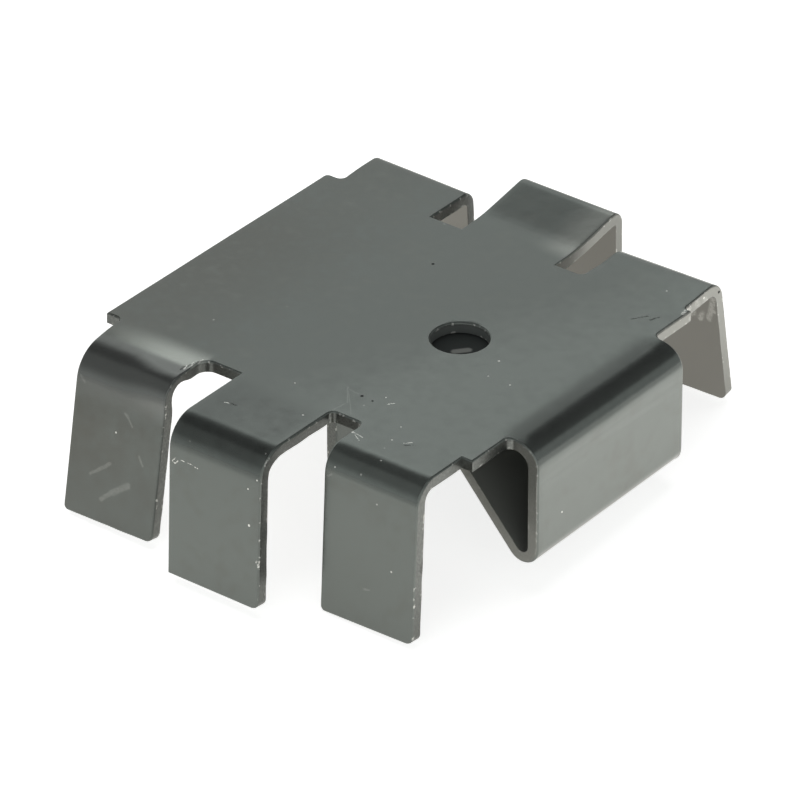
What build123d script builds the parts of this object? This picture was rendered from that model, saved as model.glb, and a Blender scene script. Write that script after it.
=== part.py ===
import os
from math import radians, tan

from build123d import *

# A clip-on heat sink for a transistor, stamped and folded from one sheet. Millimetres and degrees.
# The origin is the axis of the hole at the underside of the plate, where the transistor lies.
sheet = 0.9
hole_diameter = 4.4

# The plate runs along X: its plain end is at -X and the clip leaves from its +X end.
plate_to_plain_end = 22.83
plate_to_clip_end = 11.1
plate_width = 26.1

# Three equal fingers and two slots fill a row along the front (-Y) and another along the back (+Y).
# Both rows start beside the plain end. The front slots stop short of the plate's edge line and the
# back ones cut into it. The plate's back corner beside the clip stands out a little.
rows_to_plain_end = 1.45
front_row_to_clip_end = 0.93
front_first_slot = 3.33
front_second_slot = 2.87
front_slot_short = 0.65
back_row_to_clip_end = 0.55
back_first_slot = 2.85
back_second_slot = 2.4
back_slot_cut = 0.35
back_corner_out = 0.4

# Reach of a finger, from the edge of the plate to the outer side of its leg at the level of the plate.
front_first_reach = 4.9
front_middle_reach = 8.85
front_last_reach = 5.1
back_first_reach = 4.9
back_middle_reach = 8.02
back_last_reach = 5.05

# Lean of each leg away from upright, outwards.
front_first_lean = 10.4
front_middle_lean = 2.5
front_last_lean = 3.2
back_first_lean = 3.7
back_middle_lean = 0.6
back_last_lean = 9.6

# Three fingers have been bent up or down from the plate as well, along a wide arc about this far from
# its edge.
bent_from = 2.1
tilt_bend = 10.0
front_first_tilt = -2.5
back_middle_tilt = 10.6
back_last_tilt = 5.0

# Outer bend radii of the fingers, and the depth of their tips below the top of the plate.
front_first_bend = 2.8
front_middle_bend = 2.4
front_last_bend = 2.0
back_first_bend = 1.25
back_middle_bend = 1.1
back_last_bend = 1.65
front_drop = 12.8
front_last_drop = 13.1
back_drop = 10.63

# The clip goes down beyond the plate, turns tightly, slants back up to the plate, runs along under it
# as a flat tongue just clear of it, and ends in a lip that points down.
clip_width = 17.65
clip_off_centre = 0.12
clip_reach = 2.65
clip_drop = 10.2
clip_top_bend = 2.05
clip_turn_bend = 1.43
clip_slant = 42.0
tongue_bend = 1.0
tongue_gap = 0.08
lip_bend = 0.8
lip_to_hole = 4.72
lip_drop = 9.0

# The plate's back corner at the plain end, the inner corners of the outline with a tighter one and a
# wider one, the corners of the tips towards the plain end and towards the clip, and the edge that the
# press tool rolled over.
corner_round = 0.4
inner_round = 0.5
tight_round = 0.3
slot_round = 1.0
plain_tip_round = 0.4
clip_tip_round = 0.7
edge_round = 0.16

# How far a folded strip starts inside the plate, and how near counts as touching.
root = 1.0
near = 0.001


def finger_path(reach, lean, tilt, drop):
    """Corners of the outer side of a finger: along from inside the plate, then down to the tip."""
    rise = (reach - bent_from) * tan(radians(tilt))
    corner = (reach - rise * tan(radians(lean)), rise)
    tip = (reach + drop * tan(radians(lean)), -drop)
    if tilt == 0:
        return [(-root, 0), corner, tip]
    return [(-root, 0), (bent_from, 0), corner, tip]


row_start = rows_to_plain_end - plate_to_plain_end
front_row_end = plate_to_clip_end - front_row_to_clip_end
back_row_end = plate_to_clip_end - back_row_to_clip_end
front_finger_width = (front_row_end - row_start - front_first_slot - front_second_slot) / 3
back_finger_width = (back_row_end - row_start - back_first_slot - back_second_slot) / 3
front_starts = [
    row_start,
    row_start + front_finger_width + front_first_slot,
    front_row_end - front_finger_width,
]
back_starts = [
    row_start,
    row_start + back_finger_width + back_first_slot,
    back_row_end - back_finger_width,
]

fingers = []
for start, reach, lean, tilt, drop, bends in [
    (front_starts[0], front_first_reach, front_first_lean, front_first_tilt, front_drop,
     [tilt_bend, front_first_bend]),
    (front_starts[1], front_middle_reach, front_middle_lean, 0, front_drop, front_middle_bend),
    (front_starts[2], front_last_reach, front_last_lean, 0, front_last_drop, front_last_bend),
]:
    corner = (start + front_finger_width, -plate_width / 2, sheet)
    side = Plane(origin=corner, x_dir=(0, -1, 0), z_dir=(-1, 0, 0))
    fingers.append((side, front_finger_width, finger_path(reach, lean, tilt, drop), bends))
for start, reach, lean, tilt, bends in [
    (back_starts[0], back_first_reach, back_first_lean, 0, back_first_bend),
    (back_starts[1], back_middle_reach, back_middle_lean, back_middle_tilt,
     [tilt_bend, back_middle_bend]),
    (back_starts[2], back_last_reach, back_last_lean, back_last_tilt, [tilt_bend, back_last_bend]),
]:
    side = Plane(origin=(start, plate_width / 2, sheet), x_dir=(0, 1, 0), z_dir=(1, 0, 0))
    fingers.append((side, back_finger_width, finger_path(reach, lean, tilt, back_drop), bends))

# Corners of the outer side of the clip, from inside the plate to the end of the lip.
clip_side = Plane(origin=(0, clip_off_centre, sheet), x_dir=(1, 0, 0), z_dir=(0, -1, 0))
wall = plate_to_clip_end + clip_reach
turn_corner = -clip_drop + clip_turn_bend - clip_turn_bend * tan(radians(90 - clip_slant / 2))
tongue_level = -2 * sheet - tongue_gap
tongue_start = wall - (tongue_level - turn_corner) * tan(radians(clip_slant))
clip_path = [
    (plate_to_clip_end - root, 0),
    (wall, 0),
    (wall, turn_corner),
    (tongue_start, tongue_level),
    (-lip_to_hole, tongue_level),
    (-lip_to_hole, -lip_drop),
]
clip_bends = [clip_top_bend, clip_turn_bend, tongue_bend, lip_bend]
strips = []

with BuildPart() as heat_sink:
    with BuildSketch() as blank:
        with Locations(((plate_to_clip_end - plate_to_plain_end) / 2, 0)):
            Rectangle(plate_to_plain_end + plate_to_clip_end, plate_width)
        with Locations(((row_start + front_row_end) / 2, -plate_width / 2)):
            Rectangle(front_row_end - row_start, 2 * front_slot_short)
        for start, slot in zip(back_starts, (back_first_slot, back_second_slot)):
            with Locations((start + back_finger_width + slot / 2, plate_width / 2)):
                Rectangle(slot, 2 * back_slot_cut, mode=Mode.SUBTRACT)
        with Locations(((back_row_end + plate_to_clip_end) / 2, plate_width / 2)):
            Rectangle(back_row_to_clip_end, 2 * back_corner_out)
    extrude(amount=sheet)

    for side, width, corners, bends in fingers:
        with BuildSketch(side):
            with BuildLine() as path:
                FilletPolyline(corners, radius=bends)
                strips.append((side, 0, width, path.wire()))
                offset(amount=sheet, side=Side.RIGHT)
            make_face()
        extrude(amount=width)

    with BuildSketch(clip_side):
        with BuildLine() as path:
            FilletPolyline(clip_path, radius=clip_bends)
            strips.append((clip_side, -clip_width / 2, clip_width / 2, path.wire()))
            offset(amount=sheet, side=Side.RIGHT)
        make_face()
    extrude(amount=clip_width / 2, both=True)

    # Corners of the outline in the flat, with the radius of each.
    front = -plate_width / 2
    back = plate_width / 2
    slot_end = front - front_slot_short
    clip_edge = clip_width / 2
    for corner, radius in [
        ((-plate_to_plain_end, back), corner_round),
        ((row_start, front), inner_round),
        ((row_start, back), inner_round),
        ((front_starts[0] + front_finger_width, slot_end), slot_round),
        ((front_starts[1] + front_finger_width, slot_end), inner_round),
        ((front_starts[2], slot_end), inner_round),
        ((back_starts[2], back - back_slot_cut), inner_round),
        ((back_row_end, back + back_corner_out), tight_round),
        ((plate_to_clip_end, clip_off_centre - clip_edge), inner_round),
        ((plate_to_clip_end, clip_off_centre + clip_edge), inner_round),
    ]:
        upright = heat_sink.edges().filter_by(Axis.Z)
        fillet(upright.sort_by_distance((*corner, sheet / 2))[0], radius=radius)

    # Corners of the tips towards the clip, those towards the plain end on two front fingers, and the
    # hole.
    thick = heat_sink.edges().filter_by(lambda edge: abs(edge.length - sheet) < near)
    tips = thick.filter_by(lambda edge: edge.center().Z < -2 * sheet)
    ends = [start + front_finger_width for start in front_starts]
    ends += [start + back_finger_width for start in back_starts]
    clip_tips = tips.filter_by(lambda tip: min(abs(tip.center().X - end) for end in ends) < near)
    plain_tips = [
        tips.sort_by_distance((front_starts[0], front - front_first_reach, -front_drop))[0],
        tips.sort_by_distance((front_starts[2], front - front_last_reach, -front_last_drop))[0],
    ]
    fillet(clip_tips, radius=clip_tip_round)
    fillet(plain_tips, radius=plain_tip_round)
    with Locations((0, 0, sheet)):
        Hole(hole_diameter / 2, depth=sheet)

    # The outer side of the sheet is the top of the plate with the outer sides of the folded strips.
    # Its outline, and the rim of the hole, are the edges that only one of these faces has.
    outer = []
    for face in heat_sink.faces():
        middle = face.position_at(0.5, 0.5)
        normal = face.normal_at(middle)
        if abs(middle.Z - sheet) < near and normal.Z > 1 - near:
            outer.append(face)
        for side, low, high, path in strips:
            local = side.to_local_coords(middle)
            across = abs(normal.dot(side.z_dir)) > near
            if across or local.Z < low or local.Z > high:
                continue
            if path.distance_to(Vector(local.X, local.Y)) < near:
                outer.append(face)
    edges = [edge for face in outer for edge in face.edges()]
    outline = [edge for edge in edges if sum(edge.is_same(other) for other in edges) == 1]
    fillet(outline, radius=edge_round)

heat_sink.part.label = "heat_sink"
os.makedirs("parts", exist_ok=True)
export_step(heat_sink.part, "parts/heat_sink.step")
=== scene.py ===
from math import radians

import bpy
from mathutils import Matrix, Vector, noise
from mathutils.bvhtree import BVHTree


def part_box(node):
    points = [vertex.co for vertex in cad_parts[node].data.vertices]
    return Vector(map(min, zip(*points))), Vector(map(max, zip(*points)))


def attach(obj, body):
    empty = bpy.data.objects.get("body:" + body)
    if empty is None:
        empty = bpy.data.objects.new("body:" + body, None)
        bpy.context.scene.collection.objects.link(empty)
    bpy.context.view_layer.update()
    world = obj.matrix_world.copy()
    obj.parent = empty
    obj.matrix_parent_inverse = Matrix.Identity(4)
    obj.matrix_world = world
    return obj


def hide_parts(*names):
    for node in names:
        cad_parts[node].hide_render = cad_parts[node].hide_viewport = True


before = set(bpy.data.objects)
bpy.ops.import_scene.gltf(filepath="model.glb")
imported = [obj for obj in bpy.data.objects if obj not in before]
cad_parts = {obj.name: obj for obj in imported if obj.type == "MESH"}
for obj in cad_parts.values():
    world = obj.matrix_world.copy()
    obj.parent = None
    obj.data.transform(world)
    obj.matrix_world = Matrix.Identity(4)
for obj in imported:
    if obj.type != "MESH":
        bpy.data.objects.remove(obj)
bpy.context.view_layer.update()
print("loaded the folded sheet")

plainWhite = (1, 1, 1, 1)


def pickOnly(thing):
    bpy.ops.object.select_all(action="DESELECT")
    thing.select_set(True)
    bpy.context.view_layer.objects.active = thing


def limit(value):
    return max(0.0, min(1.0, value))


def ease(value):
    share = limit(value)
    return share * share * (3 - 2 * share)


# the camera: a long lens from the front right
viewPoint = {
    "place": (0.286658, -0.373585, 0.284084),
    "azimuth": 38.039,
    "elevation": 31.497,
    "roll": -0.199,
    "lens": 337.54,
    "sensor": 36,
    "picture": 800,
    "nearest": 0.01,
    "farthest": 20,
}

bpy.ops.object.camera_add()
camera = bpy.context.object
camera.name = "camera"
turn = Matrix.Rotation(radians(viewPoint["azimuth"]), 4, "Z")
lift = Matrix.Rotation(radians(90 - viewPoint["elevation"]), 4, "X")
roll = Matrix.Rotation(radians(viewPoint["roll"]), 4, "Z")
cameraPlace = Matrix.Translation(viewPoint["place"]) @ turn @ lift @ roll
camera.matrix_world = cameraPlace
camera.data.lens = viewPoint["lens"]
camera.data.sensor_width = viewPoint["sensor"]
camera.data.clip_start = viewPoint["nearest"]
camera.data.clip_end = viewPoint["farthest"]
bpy.context.scene.camera = camera
print("placed the camera")


# an expression on values adds its own Math nodes
class Value:
    def __init__(self, nodes, socket):
        self.nodes = nodes
        self.socket = socket

    def maths(self, operation, first, second):
        return self.nodes.add("ShaderNodeMath", {"operation": operation}, {0: first, 1: second})

    def __add__(self, other):
        return self.maths("ADD", self, other)

    def __radd__(self, other):
        return self.maths("ADD", other, self)

    def __sub__(self, other):
        return self.maths("SUBTRACT", self, other)

    def __rsub__(self, other):
        return self.maths("SUBTRACT", other, self)

    def __mul__(self, other):
        return self.maths("MULTIPLY", self, other)

    def __rmul__(self, other):
        return self.maths("MULTIPLY", other, self)

    def most(self, other):
        return self.maths("MAXIMUM", self, other)

    def least(self, other):
        return self.maths("MINIMUM", self, other)


# how much of a dot's radius, and of a stroke's half width, is solid before it fades
solidPart = {"dot": 0.6, "stroke": 0.4}


class Nodes:
    def __init__(self, tree):
        self.tree = tree
        tree.nodes.clear()

    # one node: its type, its settings, then the values or links of its sockets
    def add(self, kind, settings=None, values=None, output=0):
        node = self.tree.nodes.new(kind)
        for name, setting in (settings or {}).items():
            setattr(node, name, setting)
        for name, value in (values or {}).items():
            if isinstance(value, Value):
                self.tree.links.new(value.socket, node.inputs[name])
            else:
                node.inputs[name].default_value = value
        return Value(self, node.outputs[output]) if node.outputs else None

    def vector(self, operation, first, second=(0, 0, 0), scale=1.0, output="Vector"):
        values = {0: first, 1: second, 3: scale}
        return self.add("ShaderNodeVectorMath", {"operation": operation}, values, output)

    # 0 below low, 1 above high
    def step(self, value, low, high):
        values = {"Value": value, "From Min": low, "From Max": high}
        return self.add("ShaderNodeMapRange", {"interpolation_type": "SMOOTHSTEP"}, values)

    # 1 below low, 0 above high
    def fade(self, value, low, high):
        return 1 - self.step(value, low, high)

    # rises between the first two values and falls between the last two
    def band(self, value, begin, full, fading, end):
        return self.step(value, begin, full) * self.fade(value, fading, end)

    def blend(self, mask, first, second):
        return self.add("ShaderNodeMix", {"data_type": "RGBA"}, {0: mask, 6: first, 7: second}, output=2)

    def noise(self, place, scale, detail=3.0, output=0):
        values = {"Vector": place, "Scale": scale, "Detail": detail}
        return self.add("ShaderNodeTexNoise", {}, values, output)

    def split(self, vector, axis):
        return self.add("ShaderNodeSeparateXYZ", {}, {0: vector}, output=axis)

    def dot(self, place, centre, radius):
        distance = self.vector("DISTANCE", place, centre, output="Value")
        return self.fade(distance, radius * solidPart["dot"], radius)

    def stroke(self, place, start, end, width):
        along = end - start
        toPlace = self.vector("SUBTRACT", place, start)
        share = self.vector("DOT_PRODUCT", toPlace, along / along.length_squared, output="Value")
        nearest = self.vector("SCALE", along, scale=share.most(0).least(1))
        distance = self.vector("DISTANCE", toPlace, nearest, output="Value")
        return self.fade(distance, width * solidPart["stroke"], width)


# the folded sheet, cut finer so that it can be bent by hand and carry its edge values
sheetForm = {
    "thickness": 0.0009,
    "mergeWithin": 0.000002,
    "flatAngle": 0.3,
    "cutStep": 0.0006,
    "sharp": 60,
    "topWithin": 0.01,
    "innerBelow": 0.1,
    "cutBelow": 0.85,
    # how far the whole sheet is from flat, and how ragged the press tool left its cuts
    "waveSeed": 1,
    "waveSize": 0.011,
    "waveHeight": 0.00003,
    "roughSize": 0.0013,
    "roughHeight": 0.00004,
    # the front row is on side -1 and the back row on side 1. A finger bends over a length from the edge
    # of the plate, its tip moves in full at its depth, and it takes this share of its width at each side
    "rows": {
        "edge": {-1: 0.01375, 1: 0.01305},
        "width": {-1: 0.00845, 1: 0.00889},
        "beside": 0.05,
        "bendLength": 0.0025,
        "tipDepth": 0.012,
    },
    # how the fingers were pushed about by hand: at the left and right edge of each, how far its flat
    # rises, and how far its tip rises on top of that
    "fingers": {
        "frontFirst": {
            "side": -1,
            "from": -0.02138,
            "flat": (-0.00020, -0.00005),
            "tip": (0.00012, 0.00012),
        },
        "frontLast": {"side": -1, "from": 0.00172, "flat": (0, 0), "tip": (-0.00025, -0.00008)},
        "backFirst": {"side": 1, "from": -0.02138, "flat": (0.0001, -0.00002), "tip": (0, 0)},
        "backMiddle": {"side": 1, "from": -0.00964, "flat": (0.00006, 0.00006), "tip": (0, 0)},
        "backLast": {"side": 1, "from": 0.00166, "flat": (-0.00007, 0.00014), "tip": (0, 0)},
    },
    # the fold of the first front finger is tighter beside its slot
    "slotFold": {
        "y": -0.0154,
        "z": -0.0019,
        "radius": 0.0032,
        "from": -0.0176,
        "to": -0.0129,
        "past": 1.2,
        "move": 0.00034,
    },
    # the fold of the clip starts softly, a little inside the plate, and the clip is twisted a little
    "clipLead": {
        "from": 0.0099,
        "peak": 0.0123,
        "to": 0.01375,
        "drop": 0.00020,
        "fullWidth": 0.0080,
        "fadeWidth": 0.0017,
        "level": -0.0025,
        "fadeDepth": 0.001,
    },
    "clipTwist": {"from": 0.002, "halfWidth": 0.0089, "depth": 0.0093, "rise": (-0.00006, 0.00013)},
    # where a fold squeezed the sheet thinner on its inner side
    "squeezes": {
        "besideSlot": {
            "y": -0.01515,
            "z": -0.0019,
            "radius": 0.0019,
            "from": -0.0160,
            "to": -0.0129,
            "move": 0.00026,
        },
        "frontLast": {
            "y": -0.01615,
            "z": -0.0011,
            "radius": 0.0011,
            "from": 0.0080,
            "to": 0.0102,
            "move": 0.00010,
        },
    },
    "squeezeReach": {"radius": 1.5, "past": 1.1},
}


def copySheet(node):
    sheet = bpy.data.objects.new("dressed_sheet", node.data.copy())
    bpy.context.scene.collection.objects.link(sheet)
    pickOnly(sheet)
    bpy.ops.mesh.customdata_custom_splitnormals_clear()
    bpy.ops.object.mode_set(mode="EDIT")
    bpy.ops.mesh.select_all(action="SELECT")
    bpy.ops.mesh.remove_doubles(threshold=sheetForm["mergeWithin"])
    bpy.ops.mesh.dissolve_limited(angle_limit=radians(sheetForm["flatAngle"]))
    low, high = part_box("heat_sink")
    for axis in range(3):
        normal = Vector((0, 0, 0))
        normal[axis] = 1
        place = low[axis] + sheetForm["cutStep"]
        while place < high[axis]:
            bpy.ops.mesh.select_all(action="SELECT")
            bpy.ops.mesh.bisect(plane_co=normal * place, plane_no=normal)
            place += sheetForm["cutStep"]
    bpy.ops.object.mode_set(mode="OBJECT")
    return sheet


# height through the sheet: 0 on the inner side, 1 on the outer side, and in between on the cut faces.
# The outer side is what can be reached from the top of the plate without crossing a sharp edge
def markHeight(sheet):
    mesh = sheet.data
    upper = [face.index for face in mesh.polygons if abs(face.center.x) < sheetForm["topWithin"]]
    highest = max(upper, key=lambda index: mesh.polygons[index].center.z)
    bpy.ops.object.mode_set(mode="EDIT")
    bpy.ops.mesh.select_mode(type="FACE")
    bpy.ops.mesh.select_all(action="DESELECT")
    bpy.ops.object.mode_set(mode="OBJECT")
    mesh.polygons[highest].select = True
    bpy.ops.object.mode_set(mode="EDIT")
    bpy.ops.mesh.faces_select_linked_flat(sharpness=radians(sheetForm["sharp"]))
    bpy.ops.mesh.select_all(action="INVERT")
    bpy.ops.object.mode_set(mode="OBJECT")
    corners = [corner.co.copy() for corner in mesh.vertices]
    innerFaces = [list(face.vertices) for face in mesh.polygons if face.select]
    inner = BVHTree.FromPolygons(corners, innerFaces)
    heights = [limit(inner.find_nearest(place)[3] / sheetForm["thickness"]) for place in corners]
    mesh.attributes.new("height", "FLOAT", "POINT").data.foreach_set("value", heights)
    return heights


# 0 where a front fold begins and ends, 1 in the middle of it
def foldShare(out):
    direction = out.normalized()
    return (limit(-direction.y) * limit(direction.z) * 2) ** 2


def shareAlong(value, stretch):
    return (value - stretch["from"]) / (stretch["to"] - stretch["from"])


def bendFingers(corner, place, rows, fingers):
    for finger in fingers.values():
        side = finger["side"]
        beyond = place.y * side - rows["edge"][side]
        across = (place.x - finger["from"]) / rows["width"][side]
        if beyond > 0 and -rows["beside"] < across < 1 + rows["beside"]:
            left, right = finger["flat"]
            corner.co.z += (left + (right - left) * across) * ease(beyond / rows["bendLength"])
            left, right = finger["tip"]
            corner.co.z += (left + (right - left) * across) * limit(-place.z / rows["tipDepth"])


def tightenFold(corner, place, fold):
    out = Vector((0, place.y - fold["y"], place.z - fold["z"]))
    across = shareAlong(place.x, fold)
    if out.length < fold["radius"] and 0 < across < fold["past"]:
        corner.co += out.normalized() * fold["move"] * foldShare(out) * ease(across)


def softenClip(corner, place, lead):
    toPeak = ease((place.x - lead["from"]) / (lead["peak"] - lead["from"]))
    past = ease((place.x - lead["peak"]) / (lead["to"] - lead["peak"]))
    inside = 1 - ease((abs(place.y) - lead["fullWidth"]) / lead["fadeWidth"])
    upper = limit((place.z - lead["level"]) / lead["fadeDepth"])
    corner.co.z -= lead["drop"] * toPeak * (1 - past) * inside * upper


def twistClip(corner, place, twist):
    if place.x > twist["from"] and abs(place.y) < twist["halfWidth"] and place.z < 0:
        front, back = twist["rise"]
        across = place.y / twist["halfWidth"] / 2 + 0.5
        corner.co.z += (front + (back - front) * across) * limit(-place.z / twist["depth"])


def bendByHand(sheet):
    for corner in sheet.data.vertices:
        place = corner.co.copy()
        bendFingers(corner, place, sheetForm["rows"], sheetForm["fingers"])
        tightenFold(corner, place, sheetForm["slotFold"])
        softenClip(corner, place, sheetForm["clipLead"])
        twistClip(corner, place, sheetForm["clipTwist"])


def squeezeFolds(sheet, heights):
    reach = sheetForm["squeezeReach"]
    for corner, height in zip(sheet.data.vertices, heights):
        if height >= sheetForm["innerBelow"]:
            continue
        for squeeze in sheetForm["squeezes"].values():
            out = Vector((0, corner.co.y - squeeze["y"], corner.co.z - squeeze["z"]))
            across = shareAlong(corner.co.x, squeeze)
            if out.length < squeeze["radius"] * reach["radius"] and 0 < across < reach["past"]:
                corner.co += out.normalized() * squeeze["move"] * foldShare(out) * ease(across)


def roughenCuts(sheet, heights):
    outward = {}
    for face in sheet.data.polygons:
        middle = sum(heights[index] for index in face.vertices) / len(face.vertices)
        if sheetForm["innerBelow"] < middle < sheetForm["cutBelow"]:
            for index in face.vertices:
                outward[index] = outward.get(index, Vector((0, 0, 0))) + face.normal
    for index, normal in outward.items():
        corner = sheet.data.vertices[index]
        ragged = noise.noise(corner.co / sheetForm["roughSize"]) * sheetForm["roughHeight"]
        corner.co += normal.normalized() * ragged


def bowSheet(sheet):
    noise.seed_set(sheetForm["waveSeed"])
    for corner in sheet.data.vertices:
        corner.co += noise.noise_vector(corner.co / sheetForm["waveSize"]) * sheetForm["waveHeight"]


sheet = copySheet(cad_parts["heat_sink"])
print("cut the sheet:", len(sheet.data.polygons), "faces")
heights = markHeight(sheet)
print("marked the height through it")
squeezeFolds(sheet, heights)
bendByHand(sheet)
roughenCuts(sheet, heights)
bowSheet(sheet)
pickOnly(sheet)
bpy.ops.object.shade_smooth_by_angle(angle=radians(sheetForm["sharp"]))
bpy.ops.object.modifier_add(type="WEIGHTED_NORMAL")
sheet.modifiers[-1].keep_sharp = True
bpy.ops.object.modifier_apply(modifier=sheet.modifiers[-1].name)
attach(sheet, "root")
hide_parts("heat_sink")
print("bent the sheet by hand")


# marks on the sheet, each placed by its pixel in the 800 x 800 picture. The last value is a dot's radius
# or a stroke's half width, in metres
marks = {
    "darkDots": [
        ((433, 264), 0.00015), ((362, 396), 0.00016), ((372.5, 401), 0.00011), ((719, 292), 0.00014),
    ],
    "lightDots": [
        ((499, 361), 0.00011), ((352.5, 432), 0.00014), ((392, 440), 0.00008), ((303, 415), 0.00009),
        ((381, 460.5), 0.00009), ((401, 427), 0.00007), ((295, 383), 0.00007), ((249, 525.5), 0.00012),
        ((257, 480.5), 0.00008), ((248, 489), 0.00008), ((116, 432.5), 0.00009), ((510, 385), 0.00008),
        ((562, 512), 0.00008), ((386, 397.5), 0.00008), ((335, 467), 0.00008), ((704, 298), 0.00012),
    ],
    "lightStrokes": [
        ((387.5, 404.5), (395, 403), 0.00008), ((354, 432.5), (362.5, 437.5), 0.00006),
        ((355, 435), (359, 440), 0.00006), ((404, 443.5), (412, 442.5), 0.00007),
        ((175, 458), (172.5, 461), 0.00006), ((172.5, 461), (175, 463.5), 0.00006),
        ((175, 463.5), (178, 461), 0.00006), ((181, 460.5), (185, 462), 0.00005),
        ((187.5, 463), (191, 464.5), 0.00005), ((192.5, 466), (197.5, 468.5), 0.00006),
        ((256.5, 562), (259, 569), 0.00012), ((224, 402), (230, 403.5), 0.00006),
        ((683, 314), (690, 308), 0.00022), ((184, 369), (187, 365.5), 0.00009),
        ((191, 366), (194, 362.5), 0.00009), ((198, 363), (203, 360), 0.00009),
    ],
    "faintStrokes": [
        ((348, 387), (347, 402.5), 0.00007), ((345, 403.5), (333, 410), 0.00007),
        ((348, 387.5), (351, 414), 0.00006), ((350, 389.5), (359, 394), 0.00006),
        ((125.5, 414), (128.5, 418), 0.00018), ((128.5, 418), (132.5, 427.5), 0.00012),
        ((139, 457), (142.5, 466), 0.00014), ((90, 473.5), (99, 469.5), 0.00016),
        ((99, 469.5), (110, 463.5), 0.00020), ((101, 499), (112, 493), 0.00026),
        ((112, 493), (128, 486), 0.00034), ((81, 375), (85, 382), 0.00012),
        ((328, 476), (332, 474), 0.00010), ((364, 589), (369, 590), 0.00012),
    ],
    "burrs": [
        ((692, 313), (697, 303), 0.00040), ((700, 318), (705, 300), 0.00036),
        ((709, 319), (713, 300), 0.00034), ((690, 318), (714, 312), 0.00024),
    ],
    # a painted highlight on the tongue under the hole
    "crescentHighlight": [((455, 351.5), (468, 350), 0.00042)],
    "darkStrokes": [
        ((230, 403), (236, 405.5), 0.00012), ((404, 445.5), (414, 445), 0.00008),
        ((632, 319), (648, 316), 0.00010), ((650, 320), (660, 317), 0.00012),
        ((181, 369.5), (184, 366.5), 0.00012), ((187, 367), (191, 364.5), 0.00012),
        ((194, 364), (198, 361.5), 0.00012),
    ],
}

surface = BVHTree.FromPolygons(
    [corner.co.copy() for corner in sheet.data.vertices],
    [list(face.vertices) for face in sheet.data.polygons],
)


# where the camera's ray through a pixel meets the sheet
def onSheet(pixel):
    across = (pixel[0] / viewPoint["picture"] - 0.5) * viewPoint["sensor"] / viewPoint["lens"]
    up = (0.5 - pixel[1] / viewPoint["picture"]) * viewPoint["sensor"] / viewPoint["lens"]
    ray = cameraPlace.to_3x3() @ Vector((across, up, -1))
    return surface.ray_cast(cameraPlace.translation, ray)[0]


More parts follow.
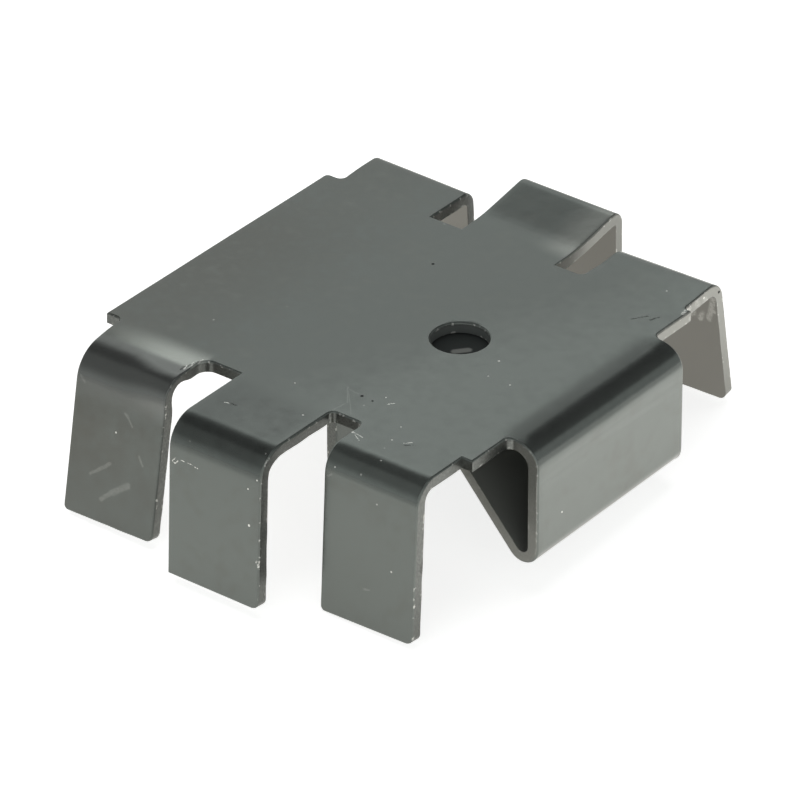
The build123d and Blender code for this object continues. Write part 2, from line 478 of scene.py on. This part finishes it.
# black anodised finish
anodised = {
    "colour": (0.140, 0.154, 0.145, 1),
    # a browner tone, partly painted shade, and a paler tone, partly painted light
    "brownShadeColour": (0.118, 0.121, 0.110, 1),
    "paleLitColour": (0.178, 0.196, 0.184, 1),
    # a painted highlight on the first front finger's flat
    "highlightColour": (0.40, 0.42, 0.39, 1),
    # paler round the first front finger's fold
    "paleFoldColour": (0.178, 0.185, 0.178, 1),
    # painted shade, at the folds and down the first front finger's leg
    "paintedShadeColour": (0.098, 0.107, 0.101, 1),
    # painted light on the raised back finger
    "litRaisedColour": (0.30, 0.31, 0.29, 1),
    "streakColour": (0.24, 0.25, 0.25, 1),
    "cutColour": (0.155, 0.163, 0.152, 1),
    "grainColour": (0.10, 0.105, 0.10, 1),
    "wornCutColour": (0.30, 0.30, 0.275, 1),
    # painted shade in the hole and on the tongue under it, and a painted highlight on the tongue
    "holeShadeColour": (0.125, 0.135, 0.13, 1),
    "tongueShadeColour": (0.022, 0.0255, 0.0245, 1),
    "crescentHighlightColour": (0.17, 0.175, 0.165, 1),
    # painted light on the inner side and inside the clip
    "litInnerColour": (0.195, 0.192, 0.176, 1),
    "litClipInnerColour": (0.21, 0.218, 0.203, 1),
    "bareColour": (0.82, 0.82, 0.78, 1),
    "darkColour": (0.010, 0.011, 0.011, 1),
    "metallic": 0.78,
    "roughness": 0.21,
    "layerIor": 1.5,
    "bumpStrength": 0.25,
    "bumpHeight": 0.00001,
    "holeMiddle": (-0.0003, 0.00035, 0),
    "streakStretch": (1, 0.06, 1),
    "wobble": 0.00018,
    # how much each tone or change counts, where it is in full
    "shares": {
        "blotches": 0.9,
        "mottle": 1.3,
        "brownShade": 0.8,
        "brownShadeLostAtBack": 0.4,
        "paleLit": 0.9,
        "paleLitSlant": 0.4,
        "paleFold": 0.9,
        "shadedLeg": 0.5,
        "root": 0.75,
        "foldShade": 0.55,
        "litRaised": 0.8,
        "streaks": 0.14,
        "besideClip": 0.8,
        "clipEnds": 0.5,
        "unchippedEnds": 0.75,
        "foot": 0.8,
        "chips": 0.6,
        "specks": 0.5,
        "light": 0.85,
        "faint": 0.085,
        "faintLeast": 0.6,
        "burrs": 0.24,
        "burrLeast": 0.4,
        "darkStrokes": 0.6,
        "dullInClip": 0.7,
        "dullWorn": 0.5,
        "roughRolled": 0.2,
        "roughCut": 0.1,
        "roughBlotches": 0.08,
        "roughBare": 0.15,
        "roughDark": 0.6,
        "reliefSwell": 9,
        "reliefGrain": 2,
    },
    # how fine each noise is, and the levels of it between which its mark appears
    "grains": {
        "blotches": 230,
        "mottle": 1000,
        "streaks": 1800,
        "cut": 7000,
        "chips": 2600,
        "specks": 620,
        "wobble": 2200,
        "broken": 6500,
        "fine": 5000,
        "swell": 380,
    },
    "levels": {
        "middle": 0.5,
        "streaks": (0.40, 0.75),
        "cut": (0.3, 0.7),
        "chips": (0.59, 0.67),
        "speckSize": (0.03, 0.07),
        "speckCells": (0.05, 0.24),
        "broken": (0.40, 0.55),
    },
    # where each tone lies, in metres: front is -Y and down is -Z. Two values are where it begins, or
    # where it ends, and four are both
    "areas": {
        "plateZ": (-0.0012, 0.0002),
        "brownShadeX": (-0.022, -0.008),
        "brownShadeBack": (0.002, 0.012),
        "paleLitX": (-0.004, 0.007),
        "highlightX": (-0.0222, -0.0135, -0.0128, -0.0124),
        "highlightFront": (0.0126, 0.0146, 0.0152, 0.0160),
        "firstFingerX": (-0.0128, -0.0124),
        "firstFingerFront": (0.0150, 0.0158),
        "paleFoldDown": (0.0006, 0.0034),
        "shadedLegDown": (0.0040, 0.0110),
        "rootX": (0.0100, 0.0115, 0.0122, 0.0132),
        "rootZ": (-0.0005, 0.0002),
        "rootYSquared": (0.000055, 0.000085),
        "foldShadeX": (-0.0100, -0.0085, -0.0022, -0.0008),
        "foldShadeFront": (0.0132, 0.0162),
        "litRaisedX": (-0.0045, -0.0008, -0.0004, 0.0010),
        "litRaisedBack": (0.0132, 0.0150),
        "streakX": (0.0100, 0.0125),
        "streakZ": (-0.0042, -0.0015),
        "besideClipX": (-0.0016, -0.0010),
        "besideClipBack": (0.0084, 0.0089),
        "clipFoldX": (0.0112, 0.0120),
        "clipSlantX": (0.0040, 0.0050),
        "clipSlantDown": (0.0006, 0.0010),
        "clipEndSides": (0.0090, 0.0094),
        "holeRadius": (0.00205, 0.0023),
        "holeTopZ": (0.00055, 0.0008),
        "tongueZ": (-0.0001, 0.0001),
        "inClipX": (0.0042, 0.0050),
        "inClipZ": (-0.0006, -0.0001),
        "inClipSides": (0.0088, 0.0092),
    },
    # the same in height through the sheet
    "bands": {
        "inner": (0.0, 0.02),
        "foot": (0.01, 0.04, 0.10, 0.22),
        "cut": (0.01, 0.05, 0.80, 0.92),
        "worn": (0.02, 0.06, 0.95, 0.995),
        "rim": (0.70, 0.84, 0.93, 0.995),
        "rolled": (0.84, 0.93, 0.985, 0.999),
    },
}


def joinMarks(nodes, place, kind):
    mask = None
    for mark in marks[kind]:
        points = [onSheet(pixel) for pixel in mark[:-1]]
        if None in points:
            print("off the sheet:", mark)
            continue
        shape = nodes.dot if len(points) == 1 else nodes.stroke
        one = shape(place, *points, mark[-1])
        mask = one if mask is None else mask.most(one)
    return mask


# a mark that is broken in places, but never weaker than its least share
def uneven(mark, broken, least):
    return mark * (least + broken * (1 - least))


def makeAnodised():
    material = bpy.data.materials.new("black_anodised")
    material.use_nodes = True
    nodes = Nodes(material.node_tree)
    shares, grains, levels = anodised["shares"], anodised["grains"], anodised["levels"]
    areas, bands = anodised["areas"], anodised["bands"]
    place = nodes.add("ShaderNodeTexCoord", output="Object")
    height = nodes.add("ShaderNodeAttribute", {"attribute_name": "height"}, output="Fac")
    x = nodes.split(place, "X")
    y = nodes.split(place, "Y")
    z = nodes.split(place, "Z")
    front = 0 - y
    down = 0 - z
    onPlate = nodes.step(z, *areas["plateZ"])

    # browner and darker towards the plain end, paler towards the front of the clip end, blotched: the
    # browner tone is the sheet's own, the darker end is partly painted shade and the paler end partly
    # painted light
    blotches = nodes.noise(place, grains["blotches"]) - levels["middle"]
    mottle = nodes.noise(place, grains["mottle"]) - levels["middle"]
    mottle = blotches * shares["blotches"] + mottle * shares["mottle"]
    brownShade = shares["brownShade"] - nodes.step(y, *areas["brownShadeBack"]) * shares["brownShadeLostAtBack"]
    brownShade = nodes.fade(x, *areas["brownShadeX"]) * brownShade + mottle
    colour = nodes.blend(brownShade.most(0).least(1), anodised["colour"], anodised["brownShadeColour"])
    paleLit = nodes.step(x - y * shares["paleLitSlant"], *areas["paleLitX"]) * shares["paleLit"] + mottle
    paleLit = paleLit * onPlate
    colour = nodes.blend(paleLit.most(0).least(1), colour, anodised["paleLitColour"])

    # the first front finger: a painted highlight on its flat beside its slot, a little paler round its
    # fold, and darker down its leg as painted shade
    paintedHighlight = nodes.band(x, *areas["highlightX"]) * nodes.band(front, *areas["highlightFront"])
    colour = nodes.blend(paintedHighlight * onPlate, colour, anodised["highlightColour"])
    onFirst = nodes.fade(x, *areas["firstFingerX"]) * nodes.step(front, *areas["firstFingerFront"])
    paleFold = onFirst * nodes.fade(down, *areas["paleFoldDown"])
    colour = nodes.blend(paleFold * shares["paleFold"], colour, anodised["paleFoldColour"])
    shadedLeg = onFirst * nodes.step(down, *areas["shadedLegDown"])
    colour = nodes.blend(shadedLeg * shares["shadedLeg"], colour, anodised["paintedShadeColour"])

    # painted shade along the fold of the clip and before the fold of the middle front finger, and
    # painted light, paler, on the raised back finger
    root = nodes.band(x, *areas["rootX"]) * nodes.step(z, *areas["rootZ"])
    root = root * nodes.fade(y * y, *areas["rootYSquared"])
    colour = nodes.blend(root * shares["root"], colour, anodised["paintedShadeColour"])
    foldShade = nodes.band(x, *areas["foldShadeX"]) * nodes.step(front, *areas["foldShadeFront"])
    foldShade = foldShade * onPlate * (shares["foldShade"] + mottle)
    colour = nodes.blend(foldShade, colour, anodised["paintedShadeColour"])
    litRaised = nodes.band(x, *areas["litRaisedX"]) * nodes.step(y, *areas["litRaisedBack"])
    colour = nodes.blend(litRaised * shares["litRaised"], colour, anodised["litRaisedColour"])

    # streaks along the fold of the clip
    stretched = nodes.vector("MULTIPLY", place, anodised["streakStretch"])
    streaks = nodes.step(nodes.noise(stretched, grains["streaks"]), *levels["streaks"])
    streaks = streaks * nodes.step(x, *areas["streakX"]) * nodes.step(z, *areas["streakZ"])
    colour = nodes.blend(streaks * shares["streaks"], colour, anodised["streakColour"])

    # cut faces: rougher and greyer
    isCut = nodes.band(height, *bands["cut"])
    grain = nodes.noise(place, grains["cut"])
    grainMask = nodes.step(grain, *levels["cut"])
    cutTone = nodes.blend(grainMask, anodised["grainColour"], anodised["cutColour"])
    colour = nodes.blend(isCut, colour, cutTone)

    # they are worn paler beside the clip at the back, and on the clip's own two ends
    beside = nodes.step(y, *areas["besideClipBack"]) * nodes.step(x, *areas["besideClipX"])
    slant = nodes.step(down, *areas["clipSlantDown"]) * nodes.step(x, *areas["clipSlantX"])
    clipEnds = nodes.step(x, *areas["clipFoldX"]).most(slant)
    for toSide in (front, y):
        clipEnds = clipEnds * nodes.fade(toSide, *areas["clipEndSides"])
    beside = beside * shares["besideClip"] * nodes.band(height, *bands["worn"])
    worn = beside.most(clipEnds * shares["clipEnds"] * isCut)
    colour = nodes.blend(worn, colour, anodised["wornCutColour"])

    # chips along both of their edges, and dust and specks thinly scattered
    edges = nodes.band(height, *bands["foot"]) * shares["foot"]
    edges = edges.most(nodes.band(height, *bands["rim"]))
    chips = nodes.step(nodes.noise(place, grains["chips"]), *levels["chips"]) * edges
    chips = chips * (1 - clipEnds * shares["unchippedEnds"])
    cells = {"Vector": place, "Scale": grains["specks"]}
    fromSpeck = nodes.add("ShaderNodeTexVoronoi", {}, cells, output="Distance")
    cellTone = nodes.split(nodes.add("ShaderNodeTexVoronoi", {}, cells, output="Color"), "X")
    specks = nodes.fade(fromSpeck, *levels["speckSize"]) * nodes.fade(cellTone, *levels["speckCells"])

    # scratches, chips and dots of their own
    wobble = nodes.noise(place, grains["wobble"], output="Color")
    wobble = nodes.vector("SUBTRACT", wobble, [levels["middle"]] * 3)
    wavy = nodes.vector("ADD", place, nodes.vector("SCALE", wobble, scale=anodised["wobble"]))
    broken = nodes.step(nodes.noise(place, grains["broken"], detail=2), *levels["broken"])
    faint = uneven(joinMarks(nodes, wavy, "faintStrokes"), broken, shares["faintLeast"])
    burrs = uneven(joinMarks(nodes, wavy, "burrs"), broken, shares["burrLeast"])
    light = joinMarks(nodes, wavy, "lightStrokes") * broken
    light = light.most(joinMarks(nodes, place, "lightDots"))
    dark = joinMarks(nodes, wavy, "darkStrokes") * broken * shares["darkStrokes"]
    dark = dark.most(joinMarks(nodes, place, "darkDots"))
    bare = (faint * shares["faint"]).most(burrs * shares["burrs"]).most(light * shares["light"])
    bare = bare.most(chips * shares["chips"]).most(specks * shares["specks"])

    # painted shade: the wall of the hole is painted dark and the tongue under it darker, with a thin
    # paler crescent in front as a painted highlight
    level = nodes.vector("MULTIPLY", place, (1, 1, 0))
    fromMiddle = nodes.vector("DISTANCE", level, anodised["holeMiddle"], output="Value")
    hole = nodes.fade(fromMiddle, *areas["holeRadius"]) * nodes.fade(z, *areas["holeTopZ"])
    tongue = hole * nodes.fade(z, *areas["tongueZ"])
    colour = nodes.blend(hole, colour, anodised["holeShadeColour"])
    colour = nodes.blend(tongue, colour, anodised["tongueShadeColour"])
    colour = nodes.blend(joinMarks(nodes, place, "crescentHighlight"), colour, anodised["crescentHighlightColour"])

    # painted light: the inner side is painted paler and warmer, most of all inside the clip, which is
    # also duller
    inner = nodes.fade(height, *bands["inner"])
    colour = nodes.blend(inner * (1 - hole), colour, anodised["litInnerColour"])
    inClip = inner * nodes.step(x, *areas["inClipX"]) * nodes.fade(z, *areas["inClipZ"])
    for toSide in (front, y):
        inClip = inClip * nodes.fade(toSide, *areas["inClipSides"])
    colour = nodes.blend(inClip, colour, anodised["litClipInnerColour"])
    colour = nodes.blend(bare.least(1), colour, anodised["bareColour"])
    colour = nodes.blend(dark, colour, anodised["darkColour"])

    metallic = anodised["metallic"] * (1 - inClip * shares["dullInClip"])
    metallic = metallic * (1 - dark) * (1 - hole) * (1 - worn * shares["dullWorn"])
    roughness = anodised["roughness"] + nodes.band(height, *bands["rolled"]) * shares["roughRolled"]
    roughness = roughness + isCut * shares["roughCut"] + blotches * shares["roughBlotches"]
    roughness = roughness + bare * shares["roughBare"] + dark.most(hole) * shares["roughDark"]
    relief = nodes.noise(place, grains["fine"], detail=2)
    relief = relief + nodes.noise(place, grains["swell"], detail=2) * shares["reliefSwell"]
    relief = relief + isCut * grain * shares["reliefGrain"]
    bumpValues = {
        "Strength": anodised["bumpStrength"],
        "Distance": anodised["bumpHeight"],
        "Height": relief,
    }
    surfaceValues = {
        "Base Color": colour,
        "Metallic": metallic,
        "IOR": anodised["layerIor"],
        "Roughness": roughness,
        "Normal": nodes.add("ShaderNodeBump", {}, bumpValues),
    }
    shader = nodes.add("ShaderNodeBsdfPrincipled", {}, surfaceValues)
    nodes.add("ShaderNodeOutputMaterial", {}, {"Surface": shader})
    return material


sheet.data.materials.clear()
sheet.data.materials.append(makeAnodised())
print("anodised the sheet")


# floor: the sheet rests on the tips of the last front finger and of the middle and last back ones
studio = {
    "floorTouch": (0.002115, -0.01799, -0.01252),
    "floorTilt": 3.926,
    "floorRoll": 0.817,
    "floorSize": 3.0,
    "paperColour": (0.85, 0.85, 0.84, 1),
    "warmWhite": (1.0, 0.975, 0.93, 1),
    "floorSeen": 0.76,
    "floorNear": 0.86,
    "floorFar": 0.30,
    "fade": (0.030, 0.110),
    "right": (0.010, 0.018),
    "rightNear": 1.48,
    "rightFar": 0.36,
    "rightFade": (0.025, 0.046),
}

bpy.ops.mesh.primitive_plane_add(size=studio["floorSize"])
floor = bpy.context.object
floor.name = "floor"
tilt = Matrix.Rotation(radians(studio["floorTilt"]), 4, "X")
rollOver = Matrix.Rotation(radians(studio["floorRoll"]), 4, "Y")
floorPlane = Matrix.Translation(studio["floorTouch"]) @ tilt @ rollOver
floor.data.transform(floorPlane)


# white paper, evenly bright to the camera. In the metal's reflections it grows darker with distance, and
# its right side is brighter
def makeFloor():
    material = bpy.data.materials.new("floor_paper")
    material.use_nodes = True
    nodes = Nodes(material.node_tree)
    cameraRay = nodes.add("ShaderNodeLightPath", output="Is Camera Ray")
    glossyRay = nodes.add("ShaderNodeLightPath", output="Is Glossy Ray")
    place = nodes.add("ShaderNodeTexCoord", output="Object")
    toRight = nodes.split(place, "X")
    far = nodes.step(nodes.vector("LENGTH", place, output="Value"), *studio["fade"])
    brightness = studio["floorNear"] + far * (studio["floorFar"] - studio["floorNear"])
    far = nodes.step(toRight, *studio["rightFade"])
    rightSide = studio["rightNear"] + far * (studio["rightFar"] - studio["rightNear"])
    brightness = brightness + nodes.step(toRight, *studio["right"]) * (rightSide - brightness)
    tint = nodes.blend(cameraRay, studio["warmWhite"], plainWhite)
    strength = (cameraRay * studio["floorSeen"]).most(glossyRay * brightness)
    paper = nodes.add("ShaderNodeBsdfDiffuse", {}, {"Color": studio["paperColour"]})
    glow = nodes.add("ShaderNodeEmission", {}, {"Color": tint, "Strength": strength})
    both = nodes.add("ShaderNodeAddShader", {}, {0: paper, 1: glow})
    nodes.add("ShaderNodeOutputMaterial", {}, {"Surface": both})
    return material


floor.data.materials.append(makeFloor())

# the room: a pale window behind on the left and another in front on the right, grey walls between them
# and a dark ceiling with one soft light straight above. A side is a direction, "towards" is how nearly
# one looks that way, and "rise" is how steeply one looks up
room = {
    "tint": (0.97, 1.0, 0.985, 1),
    "window": 0.88,
    "windowSide": (-0.616, 0.788, 0),
    "windowTowards": (0.45, 0.70),
    "windowRise": (0.64, 0.85),
    "windowEnd": (-0.788, -0.616, 0),
    "windowEndTowards": (-0.21, -0.06),
    "strip": 1.5,
    "stripTowards": (0.68, 0.76),
    "stripRise": (0.585, 0.605, 0.625, 0.645),
    "frontWindow": 0.70,
    "frontWindowSide": (0.616, -0.788, 0),
    "frontWindowTowards": (0.35, 0.65),
    "frontWindowRise": (0.66, 0.87),
    "frontSide": (-0.53, -0.85, 0),
    "frontTowards": (0.30, 0.60),
    "frontLow": 0.45,
    "frontLowRise": (0.0, 0.5),
    "frontHigh": 0.25,
    "frontHighRise": (0.76, 0.86),
    "right": 0.42,
    "rightSide": (0.73, 0.68, 0),
    "rightTowards": (0.55, 0.75),
    "rightRise": (0.46, 0.62),
    "around": 0.35,
    "aroundRise": (0.05, 0.30),
    "overhead": 0.6,
    "overheadRise": (0.94, 1.0),
    "ceiling": 0.05,
}


def makeRoom():
    world = bpy.data.worlds.new("room")
    bpy.context.scene.world = world
    world.use_nodes = True
    nodes = Nodes(world.node_tree)
    direction = nodes.add("ShaderNodeTexCoord", output="Generated")
    rise = nodes.split(direction, "Z")

    def towards(side):
        return nodes.vector("DOT_PRODUCT", direction, room[side], output="Value")

    toWindow = towards("windowSide")
    window = nodes.step(toWindow, *room["windowTowards"]) * nodes.fade(rise, *room["windowRise"])
    window = window * nodes.step(towards("windowEnd"), *room["windowEndTowards"])
    strip = nodes.band(rise, *room["stripRise"]) * nodes.step(toWindow, *room["stripTowards"])
    frontWindow = nodes.step(towards("frontWindowSide"), *room["frontWindowTowards"])
    frontWindow = frontWindow * nodes.fade(rise, *room["frontWindowRise"])
    frontWall = nodes.fade(rise, *room["frontLowRise"]) * room["frontLow"]
    frontWall = frontWall + nodes.fade(rise, *room["frontHighRise"]) * room["frontHigh"]
    frontWall = frontWall * nodes.step(towards("frontSide"), *room["frontTowards"])
    rightWall = nodes.step(towards("rightSide"), *room["rightTowards"])
    rightWall = rightWall * nodes.fade(rise, *room["rightRise"])
    around = nodes.fade(rise, *room["aroundRise"])
    overhead = nodes.step(rise, *room["overheadRise"])
    glow = (window * room["window"]).most(strip * room["strip"])
    glow = glow.most(frontWindow * room["frontWindow"]).most(frontWall)
    glow = glow.most(rightWall * room["right"]).most(around * room["around"])
    glow = glow.most(overhead * room["overhead"]).most(room["ceiling"])
    cameraRay = nodes.add("ShaderNodeLightPath", output="Is Camera Ray")
    tint = nodes.blend(cameraRay, room["tint"], plainWhite)
    values = {"Color": tint, "Strength": glow.most(cameraRay)}
    background = nodes.add("ShaderNodeBackground", {}, values)
    nodes.add("ShaderNodeOutputWorld", {}, {"Surface": background})


makeRoom()

# a soft light above, and a light panel on the floor beyond the clip. Neither shows in a surface
lamps = {
    "top_soft_light": {"place": (-0.15, 0.1, 0.6), "size": (0.6, 0.6), "power": 1.6},
    "floor_panel": {"place": (0.066, 0.075, 0.0004), "size": (0.1, 0.15), "power": 0.034},
}


def addLamp(name, place, target):
    bpy.ops.object.light_add(type="AREA", location=place)
    lamp = bpy.context.object
    lamp.name = name
    lamp.data.shape = "RECTANGLE"
    lamp.data.size, lamp.data.size_y = lamps[name]["size"]
    lamp.data.energy = lamps[name]["power"]
    lamp.visible_camera = False
    lamp.visible_glossy = False
    lamp.rotation_euler = (Vector(target) - Vector(place)).to_track_quat("-Z", "Y").to_euler()


addLamp("top_soft_light", lamps["top_soft_light"]["place"], (0, 0, 0))
panelPlace = floorPlane @ Vector(lamps["floor_panel"]["place"])
panelTarget = panelPlace + floorPlane.to_3x3() @ Vector((0, 0, 1))
addLamp("floor_panel", panelPlace, panelTarget)
print("lit the stage")

bpy.context.scene.view_settings.view_transform = "Standard"
